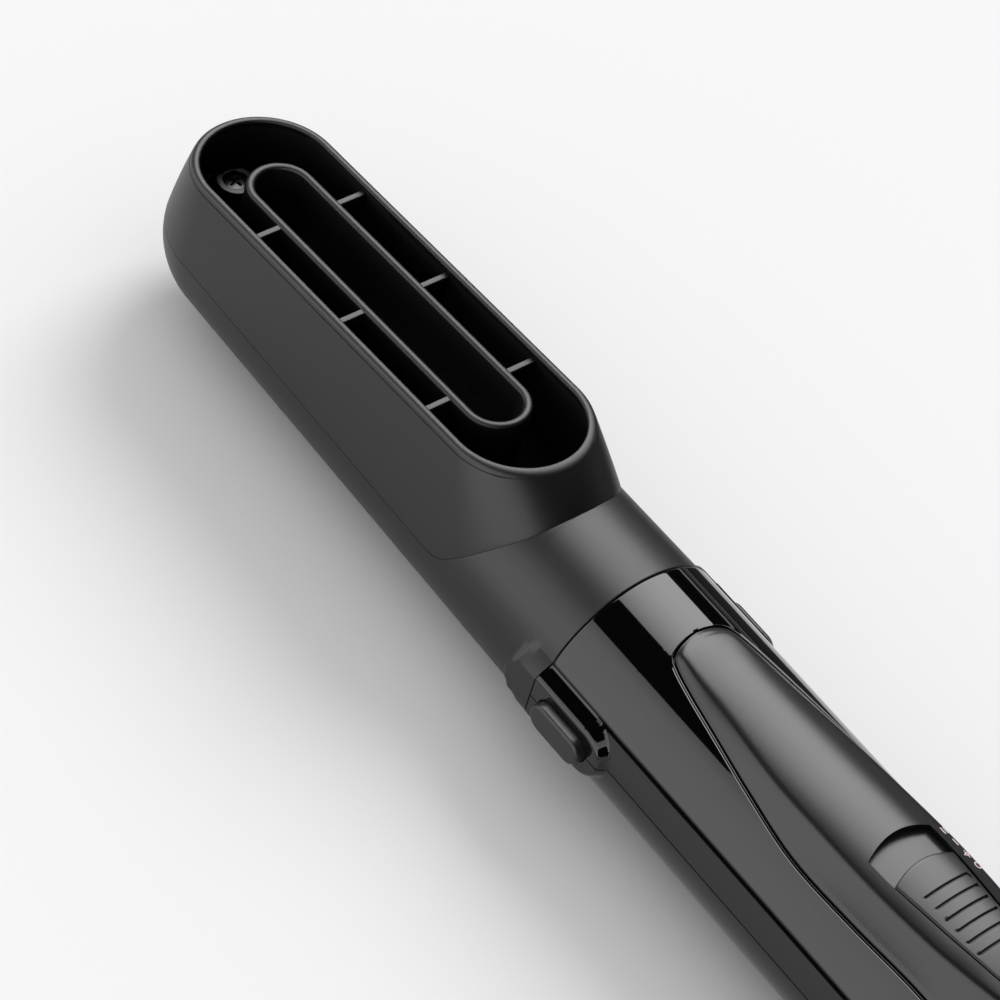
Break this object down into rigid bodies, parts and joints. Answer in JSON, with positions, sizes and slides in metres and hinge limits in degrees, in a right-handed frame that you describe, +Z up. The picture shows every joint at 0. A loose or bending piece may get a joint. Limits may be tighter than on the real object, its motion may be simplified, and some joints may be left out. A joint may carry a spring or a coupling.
{
  "type": "hot-air styler with side-outlet nozzle",
  "caption": "Round black hot-air styler handle with thumb slide switch, side release buttons and a pull-off trough nozzle that blows air out sideways through a long slot.",
  "frame": {"origin": "centre of the bounding box in plan, at the height of the underside flat it lies on", "axes": "+X along the tool to the cord end, +Y to its right-hand side, +Z up out of the nozzle outlet"},
  "size_m": [0.3518, 0.0528, 0.0499],
  "materials": {
    "gloss_black": "high gloss black moulding",
    "matt_black": "fine-grained satin black moulding",
    "soft_black": "soft-touch black",
    "switch_grey": "fine-grained dark grey",
    "heat_plastic": "heat-resistant moulding",
    "mica": null,
    "steel": "bright steel",
    "dark_steel": "blackened steel",
    "nichrome": "heating wire and rotor iron",
    "board_green": "glass-epoxy board",
    "white_plastic": "natural white moulding",
    "yellow_film": "film capacitor case",
    "ceramic": "steatite",
    "rubber_black": "matt black rubber",
    "black_epoxy": "moulded diode body"
  },
  "bodies": {
    "handle": {"upper_housing": "gloss_black", "lower_housing": "gloss_black", "grip_panel": "soft_black", "switch_body": "white_plastic", "circuit_board": "board_green", "film_capacitor": "yellow_film", "diode_front": "black_epoxy", "diode_rear": "black_epoxy", "button_spring_left": "steel", "button_spring_right": "steel", "front_barrel": "heat_plastic", "outlet_grille": "heat_plastic", "mica_sleeve": "mica", "mica_board_level": "mica", "mica_board_upright": "mica", "heater_coil": "nichrome", "thermostat": "ceramic", "thermal_fuse": "steel", "fan_duct": "switch_grey", "motor_can": "steel", "motor_end_cap": "white_plastic", "rear_grille": "matt_black", "filter_mesh": "steel", "housing_screw_front": "dark_steel", "housing_screw_rear": "dark_steel", "heater_lead_live": "white_plastic", "heater_lead_neutral": "white_plastic", "motor_lead_front": "white_plastic", "motor_lead_rear": "white_plastic"},
    "nozzle": {"nozzle_base": "matt_black", "nozzle_cup": "matt_black", "nozzle_screw": "dark_steel"},
    "button_left": {"release_button_left": "matt_black"},
    "button_right": {"release_button_right": "matt_black"},
    "slider": {"switch_slider": "switch_grey"},
    "rotor": {"motor_shaft": "steel", "motor_rotor": "nichrome", "impeller": "switch_grey"},
    "gland": {"cord_gland": "rubber_black"}
  },
  "joints": [
    {"name": "nozzle_pull", "type": "slide", "parent": "handle", "child": "nozzle", "axis": [-1, 0, 0], "range_m": [0, 0.03]},
    {"name": "release_left_press", "type": "slide", "parent": "handle", "child": "button_left", "axis": [0, 1, 0], "range_m": [0, 0.0015], "stiffness_N_per_m": 900, "springref_m": -0.002, "deforming": ["button_spring_left"]},
    {"name": "release_right_press", "type": "slide", "parent": "handle", "child": "button_right", "axis": [0, -1, 0], "range_m": [0, 0.0015], "stiffness_N_per_m": 900, "springref_m": -0.002, "deforming": ["button_spring_right"]},
    {"name": "switch_slide", "type": "slide", "parent": "handle", "child": "slider", "axis": [-1, 0, 0], "range_m": [0, 0.007]},
    {"name": "fan_spin", "type": "hinge", "parent": "handle", "child": "rotor", "pos_m": [0.1226, 0, 0.02195], "axis": [1, 0, 0], "continuous": true},
    {"name": "cord_swivel", "type": "hinge", "parent": "handle", "child": "gland", "pos_m": [0.1676, 0, 0.02195], "axis": [1, 0, 0], "continuous": true}
  ]
}
